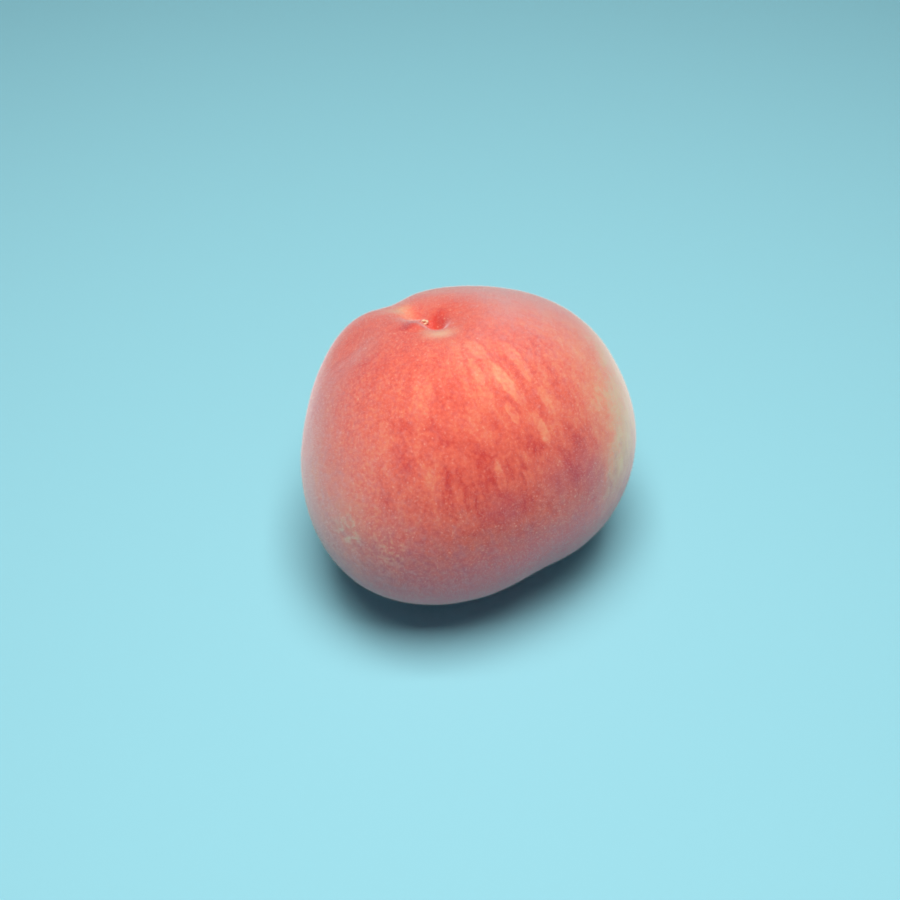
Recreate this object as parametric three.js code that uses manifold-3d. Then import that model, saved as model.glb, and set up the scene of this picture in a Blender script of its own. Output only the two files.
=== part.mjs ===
// A ripe peach standing on its blossom end, as it settles on a table.
//
// The fruit is one grown solid. Its surface is a rule: for every direction out of the
// middle of the fruit it gives a distance. A plain ellipsoid is made fuller where the
// flesh swells and is sunk into hollows and along the suture.
//
// Directions are in the fruit's own frame: x towards the suture, y towards the larger
// cheek, z towards the stem. "around" turns about the stem axis from the suture, and
// "down" is the angle away from the stem. Lengths are millimetres, angles degrees.
// The exported group is +Z up, with its origin in the middle of the resting spot.

import * as THREE from 'three';
import { mergeVertices } from 'three/addons/utils/BufferGeometryUtils.js';
import Module from 'manifold-3d';

// ---- driving dimensions -------------------------------------------------------

const SUTURE_RADIUS = 39.25;
const CHEEK_RADIUS = 44.2;
const STEM_RADIUS = 39.7;

// The stem stands a little off the middle of the flesh, and the body leans over it.
const DRIFT = { suture: 0.039, cheek: -0.023, stem: -0.078 };
const SKEW = { sutureCheek: 0.021, sutureStem: -0.049, cheekStem: 0.008 };

// Rounded swellings of the flesh: height in the middle, place, and spread in radians.
const SWELLS = {
  largeShoulder: { height: 4.4, around: 22.5, down: 45.5, spread: 0.35 },
  smallShoulder: { height: 2.45, around: -18.5, down: 47.5, spread: 0.365 },
  lowCheek: { height: 4.55, around: 105.5, down: 113, spread: 0.42 },
  blossomEnd: { height: 2.9, around: -95.5, down: 139, spread: 0.455 },
  holeRim: { height: 1.0, around: 69, down: 8.7, spread: 0.053 },
};

// Rounded hollows, the same way. The stem came out of the hole in the funnel.
const HOLLOWS = {
  flatBack: { depth: 1.3, around: 181, down: 76, spread: 0.61 },
  flatSide: { depth: 0.85, around: -110, down: 85, spread: 0.22 },
  besideSuture: { depth: 1.6, around: 58, down: 36, spread: 0.135 },
  stemFunnel: { depth: 2.05, around: 0, down: 0, spread: 0.345 },
  stemBowl: { depth: 1.0, around: 0, down: 0, spread: 0.12 },
  stemHole: { depth: 4.4, around: 25, down: 2.3, spread: 0.05 },
  behindLip: { depth: 1.6, around: 15, down: 16, spread: 0.063 },
  sutureFoot: { depth: 0.3, around: 20, down: 18, spread: 0.15 },
  tipDimple: { depth: 1.0, around: 0, down: 180, spread: 0.25 },
};

// The suture: deep at the stem, faint on the side, deeper again just past the tip. Near
// the stem it ends in a narrow crease, whose edge on the larger shoulder is a low lip.
const SUTURE_RUNS = {
  atStem: { depth: 1.65, down: 29, spread: 0.67, width: 0.16, offset: 0 },
  onSide: { depth: 0.78, down: 90, spread: 0.80, width: 0.28, offset: 0 },
  pastTip: { depth: 1.85, down: 190, spread: 0.50, width: 0.28, offset: 0 },
  crease: { depth: 0.7, down: 13.5, spread: 0.12, width: 0.035, offset: 0 },
  lip: { depth: -0.13, down: 12, spread: 0.14, width: 0.08, offset: 0.10 },
};

// Between stem and shoulder the suture sways towards the larger cheek.
const SUTURE_SWAY = { size: 0.068, down: 25, spread: 0.11 };

// How the fruit lies: the stem leans away from upright, and the suture faces back left.
const STEM_LEAN = 19;
const LEAN_TOWARDS = 133.5;
const SUTURE_TURN = 125;
const FRUIT_MIDDLE = new THREE.Vector3(-0.6, -3.6, 42.0);

// Facets: rings crowd together at the stem, where the surface bends most.
const SEGMENTS = 84;
const RINGS = 54;
const RING_CROWDING = 1.4;

const SKIN_COLOUR = 0xe8705c;
const SKIN_ROUGHNESS = 0.85;
const TABLE_BLOCK = 200;

// ---- the surface rule ---------------------------------------------------------

const radians = THREE.MathUtils.degToRad;
const degrees = THREE.MathUtils.radToDeg;

function directionAt(around, down) {
  const sideways = Math.sin(radians(down));
  return new THREE.Vector3(
    sideways * Math.cos(radians(around)),
    sideways * Math.sin(radians(around)),
    Math.cos(radians(down)),
  );
}

// 1 in the middle of a round spot on the fruit, fading smoothly to 0 with distance.
function spot(direction, { around = 0, down, spread }) {
  return Math.exp((direction.dot(directionAt(around, down)) - 1) / spread ** 2);
}

// 1 at no distance, fading to 0 on both sides.
function bell(distance, width) {
  return Math.exp(-((distance / width) ** 2));
}

function plumpBody({ x, y, z }) {
  const ellipsoid = 1 / Math.hypot(x / SUTURE_RADIUS, y / CHEEK_RADIUS, z / STEM_RADIUS);
  const drift = DRIFT.suture * x + DRIFT.cheek * y + DRIFT.stem * z;
  const skew = SKEW.sutureCheek * x * y + SKEW.sutureStem * x * z + SKEW.cheekStem * y * z;
  return ellipsoid * (1 + drift + skew);
}

function radiusTowards(direction) {
  const fromSuture = direction.y - SUTURE_SWAY.size * spot(direction, SUTURE_SWAY);
  let radius = plumpBody(direction);
  for (const swell of Object.values(SWELLS)) {
    radius += swell.height * spot(direction, swell);
  }
  for (const hollow of Object.values(HOLLOWS)) {
    radius -= hollow.depth * spot(direction, hollow);
  }
  for (const run of Object.values(SUTURE_RUNS)) {
    radius -= run.depth * spot(direction, run) * bell(fromSuture - run.offset, run.width);
  }
  return radius;
}

// ---- mesh and solid -----------------------------------------------------------

// A closed mesh whose triangles share their corners, as a solid needs.
function sharedCorners(geometry) {
  geometry.deleteAttribute('normal');
  geometry.deleteAttribute('uv');
  return mergeVertices(geometry);
}

function grownSurface() {
  const sphere = new THREE.SphereGeometry(1, SEGMENTS, RINGS);
  sphere.rotateX(Math.PI / 2);
  const surface = sharedCorners(sphere);
  const corners = surface.getAttribute('position');
  for (let i = 0; i < corners.count; i += 1) {
    const even = new THREE.Vector3().fromBufferAttribute(corners, i).normalize();
    const around = degrees(Math.atan2(even.y, even.x));
    const down = 180 * (degrees(Math.acos(even.z)) / 180) ** RING_CROWDING;
    const direction = directionAt(around, down);
    const corner = direction.clone().multiplyScalar(radiusTowards(direction));
    corners.setXYZ(i, corner.x, corner.y, corner.z);
  }
  return surface;
}

function restingPose() {
  const towards = radians(LEAN_TOWARDS);
  const leanAxis = new THREE.Vector3(-Math.sin(towards), Math.cos(towards), 0);
  const lean = new THREE.Quaternion().setFromAxisAngle(leanAxis, radians(STEM_LEAN));
  const turn = new THREE.Quaternion()
    .setFromAxisAngle(new THREE.Vector3(0, 0, 1), radians(SUTURE_TURN));
  return new THREE.Matrix4().compose(FRUIT_MIDDLE, lean.multiply(turn), new THREE.Vector3(1, 1, 1));
}

const wasm = await Module();
wasm.setup();

function toSolid(geometry) {
  return new wasm.Manifold(new wasm.Mesh({
    numProp: 3,
    vertProperties: new Float32Array(geometry.getAttribute('position').array),
    triVerts: new Uint32Array(geometry.getIndex().array),
  }));
}

function toGeometry(solid) {
  const { vertProperties, triVerts } = solid.getMesh();
  const geometry = new THREE.BufferGeometry();
  geometry.setAttribute('position', new THREE.BufferAttribute(new Float32Array(vertProperties), 3));
  geometry.setIndex(new THREE.BufferAttribute(new Uint32Array(triVerts), 1));
  geometry.computeVertexNormals();
  return geometry;
}

// The lowest 0.8 mm of flesh is pressed flat where the fruit stands: the table, a block
// whose top is z = 0, is cut away from it.
function pressedFlat(geometry) {
  const table = new THREE.BoxGeometry(TABLE_BLOCK, TABLE_BLOCK, TABLE_BLOCK);
  table.translate(0, 0, -TABLE_BLOCK / 2);
  return toGeometry(toSolid(geometry).subtract(toSolid(sharedCorners(table))));
}

const skin = new THREE.MeshStandardMaterial({
  color: SKIN_COLOUR,
  roughness: SKIN_ROUGHNESS,
  metalness: 0,
});

const peach = new THREE.Mesh(pressedFlat(grownSurface().applyMatrix4(restingPose())), skin);
peach.name = 'peach';

const group = new THREE.Group();
group.add(peach);

export default group;
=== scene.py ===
import math

import bpy
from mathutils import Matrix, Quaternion, Vector


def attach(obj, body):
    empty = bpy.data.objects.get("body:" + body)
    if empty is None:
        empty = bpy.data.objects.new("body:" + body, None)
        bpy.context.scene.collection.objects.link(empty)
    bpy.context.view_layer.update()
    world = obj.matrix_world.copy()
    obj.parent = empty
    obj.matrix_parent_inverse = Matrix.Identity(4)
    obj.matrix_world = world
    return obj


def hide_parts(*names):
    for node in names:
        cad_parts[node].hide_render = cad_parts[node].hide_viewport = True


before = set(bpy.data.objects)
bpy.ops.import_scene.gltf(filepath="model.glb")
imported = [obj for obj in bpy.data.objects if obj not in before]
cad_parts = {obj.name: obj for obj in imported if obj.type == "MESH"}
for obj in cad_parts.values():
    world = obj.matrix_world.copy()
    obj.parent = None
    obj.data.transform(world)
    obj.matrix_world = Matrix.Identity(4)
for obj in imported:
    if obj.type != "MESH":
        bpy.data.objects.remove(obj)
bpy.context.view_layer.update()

MM = 0.001

# ---- The grown fruit -------------------------------------------------------------
# One body of flesh under a thin skin, grown on the branch as one piece. Two cheeks meet
# along the suture, the stem end is sunk into a funnel with the stem's own hole in it,
# and the fruit stands on a spot that its weight has pressed flat.

SUTURE_RADIUS = 39.25 * MM
CHEEK_RADIUS = 44.2 * MM
STEM_RADIUS = 39.7 * MM

# Directions are in the fruit's own frame: suture, larger cheek, stem. The stem stands
# off the middle of the flesh, and the body leans over it.
DRIFT = Vector((0.039, -0.023, -0.078))
SKEW_SUTURE_CHEEK = 0.021
SKEW_SUTURE_STEM = -0.049
SKEW_CHEEK_STEM = 0.008

# Each swelling or hollow: height, degrees round the stem axis from the suture, degrees
# down from the stem, spread in radians.
LARGE_SHOULDER = (4.4 * MM, 22.5, 45.5, 0.35)
SMALL_SHOULDER = (2.45 * MM, -18.5, 47.5, 0.365)
LOW_CHEEK = (4.55 * MM, 105.5, 113, 0.42)
BLOSSOM_END = (2.9 * MM, -95.5, 139, 0.455)
HOLE_RIM = (1.0 * MM, 69, 8.7, 0.053)
FLAT_BACK = (-1.3 * MM, 181, 76, 0.61)
FLAT_SIDE = (-0.85 * MM, -110, 85, 0.22)
BESIDE_SUTURE = (-1.6 * MM, 58, 36, 0.135)
STEM_FUNNEL = (-2.05 * MM, 0, 0, 0.345)
STEM_BOWL = (-1.0 * MM, 0, 0, 0.12)
STEM_HOLE = (-4.4 * MM, 25, 2.3, 0.05)
BEHIND_LIP = (-1.6 * MM, 15, 16, 0.063)
SUTURE_FOOT = (-0.3 * MM, 20, 18, 0.15)
TIP_DIMPLE = (-1.0 * MM, 0, 180, 0.25)
SWELLS_AND_HOLLOWS = (
    LARGE_SHOULDER, SMALL_SHOULDER, LOW_CHEEK, BLOSSOM_END, HOLE_RIM, FLAT_BACK, FLAT_SIDE,
    BESIDE_SUTURE, STEM_FUNNEL, STEM_BOWL, STEM_HOLE, BEHIND_LIP, SUTURE_FOOT, TIP_DIMPLE,
)

# Each stretch of the suture: depth, degrees down from the stem, spread, width, offset.
SUTURE_AT_STEM = (1.65 * MM, 29, 0.67, 0.16, 0.0)
SUTURE_ON_SIDE = (0.78 * MM, 90, 0.80, 0.28, 0.0)
SUTURE_PAST_TIP = (1.85 * MM, 190, 0.50, 0.28, 0.0)
SUTURE_CREASE = (0.7 * MM, 13.5, 0.12, 0.035, 0.0)
SUTURE_LIP = (-0.13 * MM, 12, 0.14, 0.08, 0.10)
SUTURE_RUNS = (SUTURE_AT_STEM, SUTURE_ON_SIDE, SUTURE_PAST_TIP, SUTURE_CREASE, SUTURE_LIP)
SUTURE_SWAY = 0.068  # towards the larger cheek, between stem and shoulder
SWAY_DOWN = 25
SWAY_SPREAD = 0.11

STEM_LEAN = math.radians(19)
LEAN_TOWARDS = math.radians(133.5)
SUTURE_TURN = math.radians(125)
FRUIT_MIDDLE = Vector((-0.6, -3.6, 42.0)) * MM
lean_axis = Vector((-math.sin(LEAN_TOWARDS), math.cos(LEAN_TOWARDS), 0))
standing = (Quaternion(lean_axis, STEM_LEAN) @ Quaternion((0, 0, 1), SUTURE_TURN)).to_euler()

UNEVENNESS = ((12 * MM, 0.40 * MM), (3 * MM, 0.10 * MM))  # breadth and height of its waves

GRID_POINTS = 129  # along each edge of the cube that the skin's mesh grows from
STEM_CROWDING = 1.4  # above 1, the mesh is finer at the stem
NEARLY_NOTHING = 1e-6  # stands in for 0 in a division, at the stem itself
MAP_FILL = 0.99  # of each cube side's place in the map, so that sides don't touch


def lay_stops(ramp, stops):
    """Gives a colour ramp its stops, each a place from 0 to 1 and a colour."""
    while len(ramp.elements) < len(stops):
        ramp.elements.new(1.0)
    for element, (place, colour) in zip(ramp.elements, stops):
        element.position = place
        element.color = colour


class Wire:
    """A socket of a node tree. Arithmetic on it adds Math nodes to its tree."""

    def __init__(self, tree, socket=None):
        self.tree = tree
        self.socket = socket

    def node(self, kind, settings=None, values=None, result=0):
        """Adds a node: settings first, then the values or links of its sockets."""
        made = self.tree.nodes.new(kind)
        for name, value in (settings or {}).items():
            if name == "stops":
                lay_stops(made.color_ramp, value)
            else:
                setattr(made, name, value)
        for name, value in (values or {}).items():
            if isinstance(value, Wire):
                self.tree.links.new(value.socket, made.inputs[name])
            else:
                made.inputs[name].default_value = value
        return Wire(self.tree, made.outputs[result] if made.outputs else None)

    def math(self, operation, *operands):
        return self.node("ShaderNodeMath", {"operation": operation}, dict(enumerate(operands)))

    def vector_math(self, operation, *operands, result=0):
        settings = {"operation": operation}
        return self.node("ShaderNodeVectorMath", settings, dict(enumerate(operands)), result)

    def scaled(self, factor):
        settings = {"operation": "SCALE"}
        return self.node("ShaderNodeVectorMath", settings, {0: self, "Scale": factor})

    def dot(self, other):
        """How far two vectors point the same way, as one number."""
        return self.vector_math("DOT_PRODUCT", self, other, result="Value")

    def parts(self):
        """The three numbers of a vector."""
        split = self.node("ShaderNodeSeparateXYZ", values={0: self})
        return [Wire(self.tree, socket) for socket in split.socket.node.outputs]

    def vector(self, x, y, z):
        return self.node("ShaderNodeCombineXYZ", values={0: x, 1: y, 2: z})

    def feed(self, node, name):
        """Links this wire into a socket of a node."""
        self.tree.links.new(self.socket, node.inputs[name])

    def __add__(self, other):
        return self.math("ADD", self, other)

    def __radd__(self, other):
        return self.math("ADD", other, self)

    def __sub__(self, other):
        return self.math("SUBTRACT", self, other)

    def __rsub__(self, other):
        return self.math("SUBTRACT", other, self)

    def __mul__(self, other):
        return self.math("MULTIPLY", self, other)

    def __rmul__(self, other):
        return self.math("MULTIPLY", other, self)

    def __truediv__(self, other):
        return self.math("DIVIDE", self, other)

    def __rtruediv__(self, other):
        return self.math("DIVIDE", other, self)

    def __pow__(self, other):
        return self.math("POWER", self, other)

    def __neg__(self):
        return self.math("MULTIPLY", self, -1.0)


def toward(around, down):
    """The direction at these degrees round from the suture and down from the stem."""
    around = math.radians(around)
    down = math.radians(down)
    sideways = math.sin(down)
    return Vector((sideways * math.cos(around), sideways * math.sin(around), math.cos(down)))


def spot(direction, around, down, spread):
    """1 in the middle of a soft round spot on the fruit, fading to 0 with distance."""
    nearness = direction.dot(toward(around, down))
    return direction.math("EXPONENT", (nearness - 1) / spread**2)


def with_spots(value, direction, spots):
    """The value with spots added: each its height, degrees round and down, and spread."""
    for height, around, down, spread in spots:
        value = value + height * spot(direction, around, down, spread)
    return value


def bell(distance, width):
    """1 at no distance, fading to 0 on both sides."""
    steps = distance / width
    return distance.math("EXPONENT", -(steps * steps))


def cloud(place, size, detail=2.0):
    """Soft random light and dark around 0, with blots about this size."""
    return place.node("ShaderNodeTexNoise", values={0: place, 2: 1 / size, 3: detail}) - 0.5


def even_directions(grid):
    """Directions from the middle to the points of a cube's grid, spread out evenly."""
    spread_out = [part.math("TANGENT", part * (math.pi / 4)) for part in grid.parts()]
    return grid.vector_math("NORMALIZE", grid.vector(*spread_out))


def crowded(direction):
    """The same directions drawn together towards the stem."""
    x, y, z = direction.parts()
    sideways = direction.math("SQRT", x * x + y * y)
    down = math.pi * (direction.math("ARCCOSINE", z) / math.pi) ** STEM_CROWDING
    shrink = direction.math("SINE", down) / direction.math("MAXIMUM", sideways, NEARLY_NOTHING)
    return direction.vector(x * shrink, y * shrink, direction.math("COSINE", down))


def grown_radius(direction, size):
    """How far the skin stands from the middle of the fruit in each direction."""
    x, y, z = direction.parts()
    halves = direction.vector(
        x / size["Suture radius"], y / size["Cheek radius"], z / size["Stem radius"]
    )
    ellipsoid = 1 / halves.vector_math("LENGTH", halves, result="Value")
    skew = SKEW_SUTURE_CHEEK * x * y + SKEW_SUTURE_STEM * x * z + SKEW_CHEEK_STEM * y * z
    radius = ellipsoid * (1 + direction.dot(DRIFT) + skew)
    radius = with_spots(radius, direction, SWELLS_AND_HOLLOWS)
    from_suture = y - SUTURE_SWAY * spot(direction, 0, SWAY_DOWN, SWAY_SPREAD)
    for depth, down, spread, width, offset in SUTURE_RUNS:
        groove = bell(from_suture - offset, width)
        radius = radius - depth * spot(direction, 0, down, spread) * groove
    return radius


def six_sided_map(grid):
    """Lays the six sides of the cube in one square, three across and two up."""
    facing = grid.node("GeometryNodeInputNormal")
    settings = {"data_type": "FLOAT_VECTOR", "domain": "FACE"}
    facing = grid.node("GeometryNodeFieldOnDomain", settings, {0: facing})
    facing_x, facing_y, facing_z = facing.parts()
    x, y, z = grid.parts()
    upright = grid.math("ABSOLUTE", facing_z)
    column = grid.math("ABSOLUTE", facing_y) + 2 * upright
    row = (1 + facing_x + facing_y + facing_z) / 2
    across = facing_x * y - facing_y * x + facing_z * x
    up = (1 - upright) * z + upright * y
    half = MAP_FILL / 2
    return grid.vector((column + 0.5 + half * across) / 3, (row + 0.5 + half * up) / 2, 0.0)


def new_tree(name, inputs):
    """An empty Geometry Nodes tree with named number inputs, as a wire and its inputs."""
    tree = bpy.data.node_groups.new(name, "GeometryNodeTree")
    tree.interface.new_socket("Geometry", in_out="OUTPUT", socket_type="NodeSocketGeometry")
    tree.interface.new_socket("Geometry", in_out="INPUT", socket_type="NodeSocketGeometry")
    for title in inputs:
        tree.interface.new_socket(title, in_out="INPUT", socket_type="NodeSocketFloat")
    start = tree.nodes.new("NodeGroupInput")
    return Wire(tree), {socket.name: Wire(tree, socket) for socket in start.outputs}


def close_tree(geometry, material):
    """Ends a tree: instances made real, the material given, the result handed out."""
    geometry = geometry.node("GeometryNodeRealizeInstances", values={0: geometry})
    values = {"Geometry": geometry, "Material": material}
    geometry = geometry.node("GeometryNodeSetMaterial", values=values)
    geometry.node("NodeGroupOutput", values={0: geometry})


def grow(name, tree, inputs, ground):
    """Runs a tree on a mesh and returns the result as an object with a plain mesh."""
    piece = bpy.data.objects.new(name, ground)
    bpy.context.scene.collection.objects.link(piece)
    modifier = piece.modifiers.new(name, "NODES")
    modifier.node_group = tree
    for item in tree.interface.items_tree:
        if item.name in inputs:
            modifier[item.identifier] = inputs[item.name]
    graph = bpy.context.evaluated_depsgraph_get()
    mesh = bpy.data.meshes.new_from_object(piece.evaluated_get(graph), depsgraph=graph)
    piece.modifiers.clear()
    piece.data = mesh
    mesh.name = name
    return piece


def fruit_tree(material, inputs):
    """The tree that grows the fruit from the grid on a cube."""
    tree, size = new_tree("grown_fruit", inputs)
    points = {f"Vertices {axis}": GRID_POINTS for axis in "XYZ"}
    body = tree.node("GeometryNodeMeshCube", values={"Size": (2, 2, 2), **points})
    grid = tree.node("GeometryNodeInputPosition")
    body = tree.node(
        "GeometryNodeStoreNamedAttribute",
        {"data_type": "FLOAT2", "domain": "CORNER"},
        {"Geometry": body, "Name": "OFBake", "Value": six_sided_map(grid)},
    )
    direction = crowded(even_directions(grid))
    radius = grown_radius(direction, size)
    for breadth, height in UNEVENNESS:
        radius = radius + height * cloud(direction.scaled(size["Suture radius"]), breadth)
    surface = direction.scaled(radius)
    body = tree.node("GeometryNodeSetPosition", values={"Geometry": body, "Position": surface})
    values = {"Geometry": body, "Translation": FRUIT_MIDDLE, "Rotation": standing}
    body = tree.node("GeometryNodeTransform", values=values)
    x, y, z = tree.node("GeometryNodeInputPosition").parts()
    pressed = tree.vector(x, y, tree.math("MAXIMUM", z, 0.0))
    body = tree.node("GeometryNodeSetPosition", values={"Geometry": body, "Position": pressed})
    body = tree.node("GeometryNodeSetShadeSmooth", values={"Geometry": body})
    close_tree(body, material)
    return tree.tree


def paint(red, green, blue):
    """A colour given in screen values from 0 to 255, as the shader's linear colour."""
    linear = [
        part / 12.92 if part <= 0.04045 else ((part + 0.055) / 1.055) ** 2.4
        for part in (red / 255, green / 255, blue / 255)
    ]
    return (*linear, 1.0)


# The blush runs from the cream of the shaded side to the crimson of the sunniest.
BLUSH_COLOURS = (
    (0.00, paint(230, 200, 142)),
    (0.20, paint(234, 178, 132)),
    (0.38, paint(246, 142, 104)),
    (0.56, paint(240, 102, 78)),
    (0.74, paint(218, 58, 48)),
    (0.90, paint(192, 42, 46)),
    (1.00, paint(162, 32, 44)),
)
# Mauve of the bloom, which also paints shade and the down's grey sheen on the lower side and
# rims.
BLOOM_AND_SHADE_COLOUR = paint(184, 70, 96)
# A brighter red painted on the lower side against the cool light the table bounces onto it.
UNDER_COLOUR = paint(254, 98, 110)
# A dusty pink that also paints the down's grey sheen near the stem and on one cheek's rim.
DUST_AND_SHEEN_COLOUR = paint(220, 170, 166)
MOTTLE_COLOUR = paint(228, 156, 154)
SPECKLE_COLOUR = paint(252, 176, 150)
HALO_COLOUR = paint(248, 200, 158)
SCAR_COLOUR = paint(206, 82, 60)
OPEN_BLUSH = 0.575
MEAN_RADIUS = 41 * MM
OVAL_DEPTH = 15 * MM
SHADED_SIDE = toward(-94, 114)
SHADED_REACH = (math.cos(math.radians(70)), math.cos(math.radians(34)))
# Ovals where the sun drew more blush or a leaf kept it off: degrees round from the
# suture, degrees down from the stem, turn, length, width, change of blush.
BLUSH_OVALS = (
    (-162, 80, 16, 4.4 * MM, 2.8 * MM, 0.13),
    (-170, 93, 0, 4.6 * MM, 3.0 * MM, 0.09),
    (-146, 73, 0, 7.0 * MM, 6.0 * MM, -0.18),
    (-143, 108, 0, 9.0 * MM, 6.0 * MM, -0.19),
    (150, 72, 0, 5.0 * MM, 5.0 * MM, -0.05),
    (-163, 62, 0, 5.0 * MM, 4.0 * MM, -0.07),
    (-149, 52, 0, 4.5 * MM, 3.5 * MM, -0.10),
    (118, 62, 0, 5.0 * MM, 5.0 * MM, -0.04),
    (104, 87, -45, 9.0 * MM, 7.0 * MM, -0.12),
    (92, 36, 0, 6.0 * MM, 6.0 * MM, 0.06),
    (176, 72, 30, 3.4 * MM, 2.2 * MM, 0.10),
    (-158, 55, -25, 6.2 * MM, 1.5 * MM, 0.09),
    (164, 58, 20, 3.0 * MM, 2.0 * MM, 0.09),
    (144, 61, 55, 4.6 * MM, 2.2 * MM, 0.12),
    (156, 71, 7, 4.2 * MM, 2.2 * MM, 0.10),
    (143, 74, -41, 5.6 * MM, 2.8 * MM, 0.14),
    (157, 56, 0, 6.0 * MM, 3.0 * MM, -0.14),
    (143, 41, 0, 4.0 * MM, 3.0 * MM, -0.06),
    (49, 32, 0, 5.0 * MM, 5.0 * MM, 0.06),
    (128, 67, 25, 3.0 * MM, 1.9 * MM, 0.15),
    (120, 79, 0, 2.2 * MM, 1.6 * MM, 0.16),
    (158, 90, 0, 13.0 * MM, 12.0 * MM, 0.10),
    (172, 36, 0, 11.0 * MM, 10.0 * MM, -0.06),
    (-135, 60, 0, 8.0 * MM, 7.0 * MM, -0.10),
    (-118, 42, 80, 6.0 * MM, 3.0 * MM, -0.08),
    (10, 25, 0, 3.6 * MM, 3.0 * MM, -0.30),
    (14, 18, 0, 2.6 * MM, 1.4 * MM, -0.14),
    (-25, 5, 0, 3.0 * MM, 3.0 * MM, 0.20),
    (68, 13, 60, 3.2 * MM, 1.8 * MM, 0.22),
    (66, 104, 0, 15.0 * MM, 13.0 * MM, -0.34),
    (84, 78, 0, 12.0 * MM, 6.0 * MM, -0.10),
    (-50, 44, 0, 14.0 * MM, 16.0 * MM, -0.12),
    (-170, 89, 0, 6.0 * MM, 5.0 * MM, 0.06),
    (166, 106, 0, 4.0 * MM, 4.0 * MM, 0.09),
)
# Crisp pale streaks where the blush never closed, the same way.
PALE_STREAKS = (
    (-180, 46, -2, 5.4 * MM, 1.5 * MM, -0.15),
    (-166, 42, -10, 6.0 * MM, 1.6 * MM, -0.14),
    (178, 28, 0, 4.2 * MM, 2.0 * MM, -0.12),
    (168, 38, 0, 4.2 * MM, 1.4 * MM, -0.07),
    (-176, 68, -2, 5.0 * MM, 1.4 * MM, -0.14),
    (175, 58, 2, 3.2 * MM, 1.2 * MM, -0.11),
    (136, 43, 20, 8.0 * MM, 2.6 * MM, -0.07),
    (163, 23, 0, 3.4 * MM, 1.3 * MM, -0.06),
    (161, 79, -4, 4.8 * MM, 1.3 * MM, -0.11),
    (173, 78, 0, 3.8 * MM, 1.1 * MM, -0.08),
    (137, 75, 12, 4.0 * MM, 1.9 * MM, -0.07),
    (-168, 60, -6, 3.6 * MM, 1.2 * MM, -0.07),
)
STREAK_EDGE = (0.20, 0.52)
# Where the mauve is thickest, partly real bloom and partly painted shade and the down's
# grey sheen, the same way, and how much of the red it hides.
BLOOM_AND_SHADE_OVALS = (
    (-161, 97, 15, 9.0 * MM, 5.0 * MM, 0.50),
    (-176, 90, 0, 6.0 * MM, 6.0 * MM, 0.35),
    (160, 92, 0, 5.0 * MM, 5.0 * MM, 0.30),
    (121, 98, 0, 8.0 * MM, 10.0 * MM, 0.22),
    (73, 59, 0, 14.0 * MM, 8.0 * MM, 0.28),
    (86, 63, 0, 9.0 * MM, 3.5 * MM, 0.12),
)
# The pale halo at the stem's hole and the scar in it: colour, strength, and oval as above.
STEM_MARKS = (
    (HALO_COLOUR, 0.75, 150, 11.2, 90, 3.9 * MM, 2.8 * MM),
    (HALO_COLOUR, 0.25, 114, 9.5, 90, 1.8 * MM, 1.6 * MM),
    (SCAR_COLOUR, 0.7, -5, 4, 0, 2.4 * MM, 2.4 * MM),
)
SKIN_FINISH = {
    "Subsurface Weight": 0.15,
    "Subsurface Scale": 1.0 * MM,
    "Subsurface Radius": (1.0, 0.4, 0.25),
    "Sheen Weight": 1.0,
    "Sheen Roughness": 0.5,
    "Sheen Tint": paint(245, 215, 215),
    "Specular IOR Level": 0.2,
}


def rising(value, low, high):
    """0 below the low value and 1 above the high one, with a soft step between them."""
    settings = {"interpolation_type": "SMOOTHSTEP"}
    return value.node("ShaderNodeMapRange", settings, {0: value, 1: low, 2: high})


def waves(place, strength, size, detail=2.0):
    """A cloud of this strength, to add to a value."""
    return strength * cloud(place, size, detail)


def lower_down(down, start, end):
    """0 above the first of two heights on the fruit, in degrees, and 1 below the second."""
    return rising(down, math.radians(start), math.radians(end))


def oval(direction, around, down, turn, length, width):
    """1 in the middle of an oval on the skin, fading to 0. Unturned, it points at the stem."""
    heading = (
        Quaternion((0, 0, 1), math.radians(around))
        @ Quaternion((0, 1, 0), math.radians(down))
        @ Quaternion((0, 0, 1), math.radians(turn))
    )
    offset = direction.node("ShaderNodeMapping", {"vector_type": "TEXTURE"}, {
        "Vector": direction,
        "Location": toward(around, down),
        "Rotation": heading.to_euler(),
        "Scale": Vector((length, width, OVAL_DEPTH)) / MEAN_RADIUS,
    })
    return direction.math("EXPONENT", -offset.dot(offset))


def mixed(first, second, amount):
    """The first colour turned towards the second by this amount."""
    values = {0: amount, 6: first, 7: second}
    return amount.node("ShaderNodeMix", {"data_type": "RGBA"}, values, result=2)


def pushes(place, size, detail):
    """Soft random pushes in all directions, each of their parts from 0 to 1."""
    values = {0: place, 2: 1 / size, 3: detail}
    return place.node("ShaderNodeTexNoise", values=values, result=1)


def new_material(name, finish):
    """A material with this finish, its surface shader, and a wire in its tree."""
    material = bpy.data.materials.new(name)
    material.use_nodes = True
    surface = material.node_tree.nodes["Principled BSDF"]
    for title, value in finish.items():
        surface.inputs[title].default_value = value
    return material, surface, Wire(material.node_tree)


skin, surface, tree = new_material("downy_skin", SKIN_FINISH)
place = tree.node("ShaderNodeTexCoord", result="Object")
place = tree.node(
    "ShaderNodeMapping",
    {"vector_type": "TEXTURE"},
    {"Vector": place, "Location": FRUIT_MIDDLE, "Rotation": standing},
)
direction = place.vector_math("NORMALIZE", place)
x, y, z = direction.parts()
sideways = tree.math("SQRT", x * x + y * y)
down = tree.math("ARCCOSINE", z)

# Ragged edges: each place on the skin looks up its blush a little to one side.
WANDER_SIZE = 2.2 * MM
WANDER_REACH = 0.05
wander = pushes(place, WANDER_SIZE, 2.0)
wander = wander.vector_math("SUBTRACT", wander, (0.5, 0.5, 0.5)).scaled(WANDER_REACH)
ragged = direction.vector_math("ADD", direction, wander)

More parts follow.
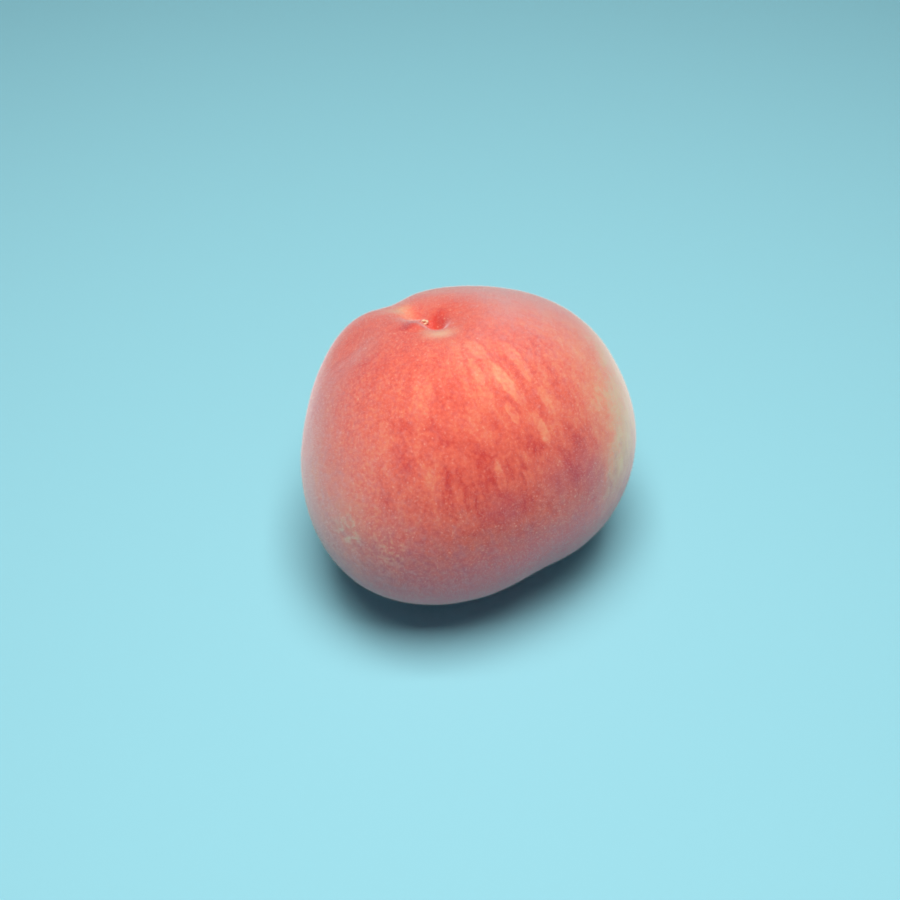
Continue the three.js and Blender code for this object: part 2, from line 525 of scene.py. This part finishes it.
# Streaks follow the lines from the stem to the tip: broad ones high up, fine ones lower.
STREAK_STRETCH = 3
STREAK_BEND_SIZE = 9 * MM
STREAK_BEND = 0.15
BROAD_STREAK = 1 / 7.0
FINE_STREAK = 1 / 18.0
FINE_STREAKS_FROM = (45, 85)  # degrees down from the stem, from none to all of them
STREAKS_FROM = (16, 38)
STREAKED_EVERYWHERE = 0.30
STREAKED_MOST = ((0.9, 175, 60, 0.60),)
meridian = tree.vector(x / sideways, y / sideways, down / STREAK_STRETCH)
bend = pushes(place, STREAK_BEND_SIZE, 1.0)
meridian = meridian.vector_math("ADD", meridian, bend.scaled(STREAK_BEND))
broad = cloud(meridian, BROAD_STREAK)
fine = cloud(meridian, FINE_STREAK)
streaks = broad + lower_down(down, *FINE_STREAKS_FROM) * (fine - broad)
streaked = with_spots(STREAKED_EVERYWHERE, direction, STREAKED_MOST)
streaked = streaked * lower_down(down, *STREAKS_FROM)

# The blush: least on the shaded side, clouded, grainy and streaked, with its own marks.
# Waves are a strength and a size, and sometimes a detail. Spots are as on the body, with
# a strength in place of a height.
SHADE_WAVES = (0.28, 5 * MM)
SHADE_DEPTH = 0.60
BROAD_BLUSH_WAVES = (0.14, 10 * MM)
BLUSH_WAVES = (0.16, 3.0 * MM)
GRAIN_SIZE = 0.9 * MM
GRAIN_EVERYWHERE = 0.24
GRAINIEST = ((0.18, 100, 46, 0.50), (0.20, -150, 42, 0.35), (0.16, 112, 98, 0.45))
FINE_DETAIL = 3.0
STREAK_DEPTH = 0.42
FLECKED = ((105, 91, -45, 4.6 * MM, 4.0 * MM), (118, 97, -45, 5.0 * MM, 3.6 * MM))
FLECK_SIZE = 1.5 * MM
FLECK_EDGE = (-0.06, 0.24)
FLECK_DEPTH = 0.46
shaded = rising(ragged.dot(SHADED_SIDE) + waves(place, *SHADE_WAVES), *SHADED_REACH)
blush = OPEN_BLUSH - SHADE_DEPTH * shaded
blush = blush + waves(place, *BROAD_BLUSH_WAVES)
blush = blush + waves(place, *BLUSH_WAVES)
grainy = with_spots(GRAIN_EVERYWHERE, direction, GRAINIEST)
blush = blush + grainy * cloud(place, GRAIN_SIZE, FINE_DETAIL)
blush = blush - STREAK_DEPTH * streaked * streaks
for *shape, change in BLUSH_OVALS:
    blush = blush + change * oval(ragged, *shape)
for *shape, change in PALE_STREAKS:
    blush = blush + change * rising(oval(ragged, *shape), *STREAK_EDGE)
flecked = oval(direction, *FLECKED[0]) + oval(direction, *FLECKED[1])
flecks = flecked * rising(cloud(place, FLECK_SIZE), *FLECK_EDGE)
blush = blush - FLECK_DEPTH * flecks
colour = tree.node("ShaderNodeValToRGB", {"stops": BLUSH_COLOURS}, {0: blush})
for mark_colour, strength, *shape in STEM_MARKS:
    colour = mixed(colour, mark_colour, strength * oval(ragged, *shape))

# A mauve bloom lies on the side the fruit rests on: partly a real dusty bloom, partly
# painted shade and the down's grey sheen in the cool light from the table. Lowest of all,
# the skin is painted a brighter red against that cool light.
RESTED_SIDE = toward(8, 161)
BLOOM_AND_SHADE_WAVES = (0.45, 4 * MM)
BLOOM_AND_SHADE_STREAKS = 0.7
BLOOM_AND_SHADE_EDGE = (-0.32, 0.46)
BLOOM_AND_SHADE_OFF_FLECKS = 0.85
BLOOM_AND_SHADE_COVER = 0.74
BLOOM_AND_SHADE_PATCHES = (1.1, 1.8 * MM, FINE_DETAIL)
UNDER_COVER = 0.65
UNDER_FROM = (98, 124)
bloom_and_shade = direction.dot(RESTED_SIDE) + waves(place, *BLOOM_AND_SHADE_WAVES) + BLOOM_AND_SHADE_STREAKS * streaks
bloom_and_shade = rising(bloom_and_shade, *BLOOM_AND_SHADE_EDGE) * (1 - BLOOM_AND_SHADE_OFF_FLECKS * flecks)
bloom_and_shade = bloom_and_shade * (BLOOM_AND_SHADE_COVER + waves(place, *BLOOM_AND_SHADE_PATCHES))
colour = mixed(colour, BLOOM_AND_SHADE_COLOUR, bloom_and_shade)
for *shape, amount in BLOOM_AND_SHADE_OVALS:
    colour = mixed(colour, BLOOM_AND_SHADE_COLOUR, amount * oval(ragged, *shape))
colour = mixed(colour, UNDER_COLOUR, UNDER_COVER * lower_down(down, *UNDER_FROM))

# Pale specks where the skin breathes, fewer in some places and faint under the bloom and
# painted shade.
SPECK_SPACING = 1.0 * MM
SPECK_EDGE = (0.08, 0.36)
SPECKS_KEPT = (0.1, 0.8)
SPECKED_SIZE = 7 * MM
SPECKED_EDGE = (-0.25, 0.12)
SPECKS_WORN = (168, 60, 0.45)
SPECKS_WORN_OFF = 0.6
SPECK_STRENGTH = 0.68
SPECK_UNDER_BLOOM_AND_SHADE = 0.6
speck = place.node("ShaderNodeTexVoronoi", values={0: place, 2: 1 / SPECK_SPACING})
cell = Wire(tree.tree, speck.socket.node.outputs["Color"]).parts()[0]
speck = (1 - rising(speck, *SPECK_EDGE)) * rising(cell, *SPECKS_KEPT)
speck = speck * rising(cloud(place, SPECKED_SIZE), *SPECKED_EDGE)
speck = speck * (1 - SPECKS_WORN_OFF * spot(direction, *SPECKS_WORN))
speck = SPECK_STRENGTH * speck * (1 - SPECK_UNDER_BLOOM_AND_SHADE * bloom_and_shade)
colour = mixed(colour, SPECKLE_COLOUR, speck)

# Pale mottles lie over the bloom and painted shade. A pale film lies thickly in two places,
# partly dust and partly the down's grey sheen painted on.
MOTTLE_SIZE = 1.5 * MM
MOTTLE_EDGE = (-0.10, 0.34)
MOTTLED_EVERYWHERE = 0.06
MOTTLED_BY_BLOOM_AND_SHADE = 0.42
MOTTLED_MOST = ((0.34, 95, 72, 0.45), (0.24, -150, 42, 0.35))
FILM_AT_STEM = (-85, 34, 0.40)
FILM_AT_STEM_DEPTH = 1.3
FILM_FROM = (8, 28)
FILM_ON_CHEEK = ((0.75, 88, 84, 0.36),)
FILM_COVER = 0.5
FILM_WAVES = (0.5, 3.0 * MM)
mottles = rising(cloud(place, MOTTLE_SIZE, FINE_DETAIL), *MOTTLE_EDGE)
mottled = MOTTLED_EVERYWHERE + MOTTLED_BY_BLOOM_AND_SHADE * bloom_and_shade
mottles = mottles * with_spots(mottled, direction, MOTTLED_MOST)
colour = mixed(colour, MOTTLE_COLOUR, mottles)
dust_and_sheen_film = FILM_AT_STEM_DEPTH * spot(direction, *FILM_AT_STEM) * lower_down(down, *FILM_FROM)
dust_and_sheen_film = with_spots(dust_and_sheen_film, direction, FILM_ON_CHEEK)
dust_and_sheen_film = (FILM_COVER + waves(place, *FILM_WAVES)) * dust_and_sheen_film
colour = mixed(colour, DUST_AND_SHEEN_COLOUR, dust_and_sheen_film)
colour.feed(surface, "Base Color")

# The skin is dull, and finely grained under its down.
ROUGHNESS = 0.74
ROUGHNESS_WAVES = (0.16, 0.6 * MM, FINE_DETAIL)
PORE_SIZE = 0.35 * MM
PORE_DEPTH = 0.06 * MM
PORE_STRENGTH = 0.35
roughness = ROUGHNESS + waves(place, *ROUGHNESS_WAVES)
roughness.feed(surface, "Roughness")
pores = cloud(place, PORE_SIZE, FINE_DETAIL)
pores = {"Strength": PORE_STRENGTH, "Distance": PORE_DEPTH, "Height": pores}
tree.node("ShaderNodeBump", values=pores).feed(surface, "Normal")

fruit_sizes = {
    "Suture radius": SUTURE_RADIUS,
    "Cheek radius": CHEEK_RADIUS,
    "Stem radius": STEM_RADIUS,
}
fruit_growth = fruit_tree(skin, fruit_sizes)
fruit = grow("grown_fruit", fruit_growth, fruit_sizes, bpy.data.meshes.new("seed"))
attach(fruit, "root")
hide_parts("peach")

# ---- The crumb of dried stem -----------------------------------------------------
# A curled shred of the twig stayed stuck in the lip of the stem's hole when the fruit
# was picked. It is straw-coloured, dry and stiff.

CRUMB_PLACE = (22, 8)  # degrees round from the suture, degrees down from the stem
CRUMB_FACING = (150, 45)
CRUMB_RADIUS = 0.56 * MM
SHRED_RADIUS = 0.30 * MM
CRUMB_STEPS = 28
CRUMB_SIDES = 8
# Waves round the curl: height, count and start in radians.
REACH_WAVES = ((0.22, 2, 1.0), (0.10, 5, 0.0))
LIFT_WAVES = ((0.30 * CRUMB_RADIUS, 3, 0.5),)
SHRED_WAVES = ((0.35, 3, 2.0),)
OUTSIDE = 0.1  # metres from the middle of the fruit, well off its skin
FIBRE_SIZE = 0.25 * MM
FIBRE_DEPTH = 0.05 * MM
FIBRE_STRENGTH = 0.6
STRAW_ROUGHNESS = 0.8
STRAW_COLOURS = (
    (0.30, paint(214, 160, 118)),
    (0.50, paint(246, 206, 168)),
    (0.75, paint(252, 230, 196)),
)


def skin_point(around, down):
    """The place on the fruit's skin in this direction from its middle."""
    outward = standing.to_quaternion() @ toward(around, down)
    return fruit.ray_cast(FRUIT_MIDDLE + OUTSIDE * outward, -outward)[1]


def band(here, there, sides):
    """The faces between two rings of points, given where each ring starts in the list."""
    faces = []
    for side in range(sides):
        beside = (side + 1) % sides
        faces.append((here + side, there + side, there + beside, here + beside))
    return faces


def smooth_object(name, points, faces):
    """A smooth object in the scene, made of these points and faces."""
    mesh = bpy.data.meshes.new(name)
    mesh.from_pydata(points, [], faces)
    mesh.polygons.foreach_set("use_smooth", [True] * len(faces))
    made = bpy.data.objects.new(name, mesh)
    bpy.context.scene.collection.objects.link(made)
    return made


def wavy(value, turn, waves_round):
    """The value at this turn of the curl, with its waves added."""
    for height, count, start in waves_round:
        value = value + height * math.sin(count * turn + start)
    return value


def curl(seat, facing):
    """The points and faces of a closed, uneven curl of dried stem."""
    turned = Vector((0, 0, 1)).rotation_difference(facing)
    points = []
    for step in range(CRUMB_STEPS):
        turn = math.tau * step / CRUMB_STEPS
        reach = CRUMB_RADIUS * wavy(1, turn, REACH_WAVES)
        lift = wavy(0, turn, LIFT_WAVES)
        shred = SHRED_RADIUS * wavy(1, turn, SHRED_WAVES)
        for side in range(CRUMB_SIDES):
            roll = math.tau * side / CRUMB_SIDES
            out = reach + shred * math.cos(roll)
            ring = Vector((out * math.cos(turn), out * math.sin(turn), 0))
            up = Vector((0, 0, lift + shred * math.sin(roll)))
            points.append(seat + turned @ (ring + up))
    faces = []
    for step in range(CRUMB_STEPS):
        following = (step + 1) % CRUMB_STEPS
        faces += band(step * CRUMB_SIDES, following * CRUMB_SIDES, CRUMB_SIDES)
    return points, faces


facing = standing.to_quaternion() @ toward(*CRUMB_FACING)
seat = skin_point(*CRUMB_PLACE) + SHRED_RADIUS * facing
crumb = smooth_object("crumb_of_stem", *curl(seat, facing))

straw_finish = {"Roughness": STRAW_ROUGHNESS}
straw, straw_surface, straw_tree = new_material("dried_stem", straw_finish)
fibre = straw_tree.node("ShaderNodeTexCoord", result="Object")
fibre = cloud(fibre, FIBRE_SIZE, FINE_DETAIL)
fibre_colour = straw_tree.node("ShaderNodeValToRGB", {"stops": STRAW_COLOURS}, {0: fibre + 0.5})
fibre_colour.feed(straw_surface, "Base Color")
fibre_relief = {"Strength": FIBRE_STRENGTH, "Distance": FIBRE_DEPTH, "Height": fibre}
straw_tree.node("ShaderNodeBump", values=fibre_relief).feed(straw_surface, "Normal")
crumb.data.materials.append(straw)
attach(crumb, "root")

# ---- The down --------------------------------------------------------------------
# Short soft hairs grow out of the skin all over and stand every way. They are rubbed off
# where the fruit stands on the table. They are laid as four coats of like hairs.

COATS = 4
HAIRS_PER_COAT = 47000
HAIR_LENGTHS = (0.22 * MM, 0.55 * MM)
HAIR_RADIUS = 0.010 * MM
HAIR_ROOT = 0.05 * MM  # how deep a hair starts under the skin
HAIR_TILT = math.radians(32)
HAIR_CLEARANCE = 0.9 * MM  # no hair starts lower than this over the table
HAIR_FINISH = {
    "Base Color": paint(240, 222, 212),
    "Roughness": 0.7,
    "Specular IOR Level": 0.3,
}


def down_tree(material, inputs):
    """The tree that sets hairs all over the skin that it is given."""
    tree, size = new_tree("down", inputs)
    low = tree.node("GeometryNodeInputPosition").parts()[2]
    settings = {"distribute_method": "RANDOM"}
    roots = tree.node("GeometryNodeDistributePointsOnFaces", settings, {
        0: size["Geometry"],
        "Selection": tree.math("GREATER_THAN", low, HAIR_CLEARANCE),
        "Density": size["Hairs per square metre"],
        "Seed": size["Coat"],
    })
    turned = Wire(tree.tree, roots.socket.node.outputs["Rotation"])
    lean = tree.node("FunctionNodeRandomValue", {"data_type": "FLOAT_VECTOR"}, {
        0: (-HAIR_TILT, -HAIR_TILT, 0),
        1: (HAIR_TILT, HAIR_TILT, math.tau),
        "Seed": size["Coat"],
    })
    lean = tree.node("FunctionNodeEulerToRotation", values={0: lean})
    settings = {"rotation_space": "LOCAL"}
    turned = tree.node("FunctionNodeRotateRotation", settings, {0: turned, 1: lean})
    length = tree.node("FunctionNodeRandomValue", {"data_type": "FLOAT"}, {
        2: size["Shortest"],
        3: size["Longest"],
        "Seed": size["Coat"] + COATS,
    }, result=1)
    hair = tree.node("GeometryNodeMeshCone", {"fill_type": "NGON"}, {
        "Vertices": 3,
        "Radius Top": 0.0,
        "Radius Bottom": HAIR_RADIUS,
        "Depth": 1.0,
    })
    hairs = tree.node("GeometryNodeInstanceOnPoints", values={
        "Points": roots,
        "Instance": hair,
        "Rotation": turned,
        "Scale": tree.vector(1.0, 1.0, length),
    })
    values = {"Instances": hairs, "Translation": (0, 0, -HAIR_ROOT)}
    hairs = tree.node("GeometryNodeTranslateInstances", values=values)
    close_tree(hairs, material)
    return tree.tree


hair_white = new_material("pale_down", HAIR_FINISH)[0]
skin_area = sum(face.area for face in fruit.data.polygons)
down_sizes = {
    "Hairs per square metre": HAIRS_PER_COAT / skin_area,
    "Shortest": HAIR_LENGTHS[0],
    "Longest": HAIR_LENGTHS[1],
    "Coat": 1.0,
}
down_growth = down_tree(hair_white, down_sizes)
for coat in range(1, COATS + 1):
    down_sizes["Coat"] = float(coat)
    down = grow(f"down_{coat}", down_growth, down_sizes, fruit.data)
    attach(down, "root")

# ---- The table, the light and the view -------------------------------------------
# A pale table that sweeps up into the wall of the studio all round, one soft light over
# the fruit, and the view of it from the front.

TABLE_REACH = 0.75
SWEEP_RADIUS = 0.65
WALL_TOP = 1.7
SWEEP_STEPS = 16
TABLE_SIDES = 96
TABLE_FINISH = {
    "Base Color": paint(158, 218, 228),
    "Roughness": 0.9,
    "Specular IOR Level": 0.1,
}
profile = [(TABLE_REACH, 0.0)]
for step in range(1, SWEEP_STEPS + 1):
    bend = math.radians(90 * step / SWEEP_STEPS)
    profile.append((
        TABLE_REACH + SWEEP_RADIUS * math.sin(bend),
        SWEEP_RADIUS * (1 - math.cos(bend)),
    ))
profile.append((TABLE_REACH + SWEEP_RADIUS, WALL_TOP))
points = [(0, 0, 0)]
for radius, height in profile:
    for side in range(TABLE_SIDES):
        turn = 2 * math.pi * side / TABLE_SIDES
        points.append((radius * math.cos(turn), radius * math.sin(turn), height))
faces = [(0, 1 + side, 1 + (side + 1) % TABLE_SIDES) for side in range(TABLE_SIDES)]
for ring in range(len(profile) - 1):
    start = 1 + ring * TABLE_SIDES
    faces += band(start, start + TABLE_SIDES, TABLE_SIDES)
table = smooth_object("table", points, faces)
table.data.materials.append(new_material("pale_table", TABLE_FINISH)[0])

ROOM_GLOW = (0.72, 0.80, 1.0, 1)
ROOM_STRENGTH = 0.05
room = bpy.data.worlds.new("room")
bpy.context.scene.world = room
room.use_nodes = True
room.node_tree.nodes["Background"].inputs["Color"].default_value = ROOM_GLOW
room.node_tree.nodes["Background"].inputs["Strength"].default_value = ROOM_STRENGTH

LIGHT_PLACE = Vector((0.0, -0.12, 0.75))
LIGHT_AIM = Vector((0, 0, 0.04))
LIGHT_SIZE = 0.40
LIGHT_POWER = 6.2
lamp = bpy.data.lights.new("overhead", "AREA")
lamp.shape = "SQUARE"
lamp.size = LIGHT_SIZE
lamp.energy = LIGHT_POWER
overhead = bpy.data.objects.new("overhead", lamp)
overhead.location = LIGHT_PLACE
overhead.rotation_euler = (LIGHT_AIM - LIGHT_PLACE).to_track_quat("-Z", "Y").to_euler()
bpy.context.scene.collection.objects.link(overhead)

VIEW_ELEVATION = math.radians(45)
VIEW_DISTANCE = 325 * MM
VIEW_POINT = Vector((-5.28, -6.27, 39.33)) * MM
LENS = 50  # millimetres, as is the sensor's width
SENSOR_WIDTH = 36
NEAREST_SEEN = 0.01
towards_view = Vector((0, -math.cos(VIEW_ELEVATION), math.sin(VIEW_ELEVATION)))
camera = bpy.data.objects.new("camera", bpy.data.cameras.new("camera"))
camera.data.lens = LENS
camera.data.sensor_width = SENSOR_WIDTH
camera.data.clip_start = NEAREST_SEEN
camera.location = VIEW_POINT + VIEW_DISTANCE * towards_view
camera.rotation_euler = (math.pi / 2 - VIEW_ELEVATION, 0, 0)
bpy.context.scene.collection.objects.link(camera)
bpy.context.scene.camera = camera
bpy.context.scene.view_settings.view_transform = "Standard"
